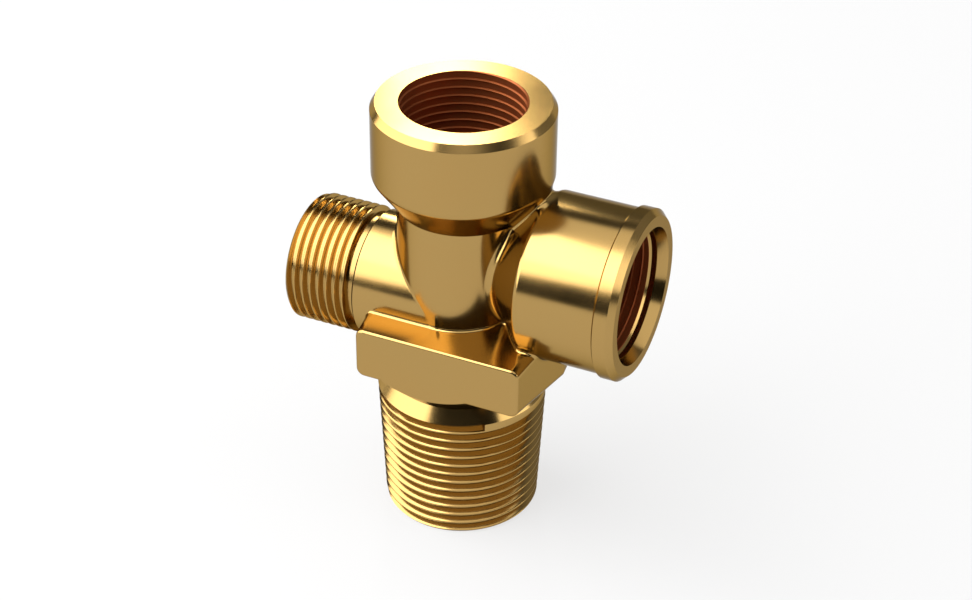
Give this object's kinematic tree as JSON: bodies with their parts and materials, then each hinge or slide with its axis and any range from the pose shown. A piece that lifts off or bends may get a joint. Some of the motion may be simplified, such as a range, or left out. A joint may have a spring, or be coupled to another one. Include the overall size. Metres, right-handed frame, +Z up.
{
  "type": "gas cylinder valve body",
  "caption": "Polished brass valve body with a taper-threaded inlet stem, spanner flats, a threaded outlet, a threaded side port and an open threaded collar on top.",
  "frame": {"origin": "centre of the flat foot of the inlet stem, on the stem's axis", "axes": "+Z up the stem towards the spindle collar, +X towards the side port, -X towards the outlet; the spanner flats face +Y and -Y"},
  "size_m": [0.0599, 0.032, 0.0772],
  "materials": {
    "brass": "polished"
  },
  "bodies": {
    "root": {"valve_body": "brass"}
  },
  "joints": []
}
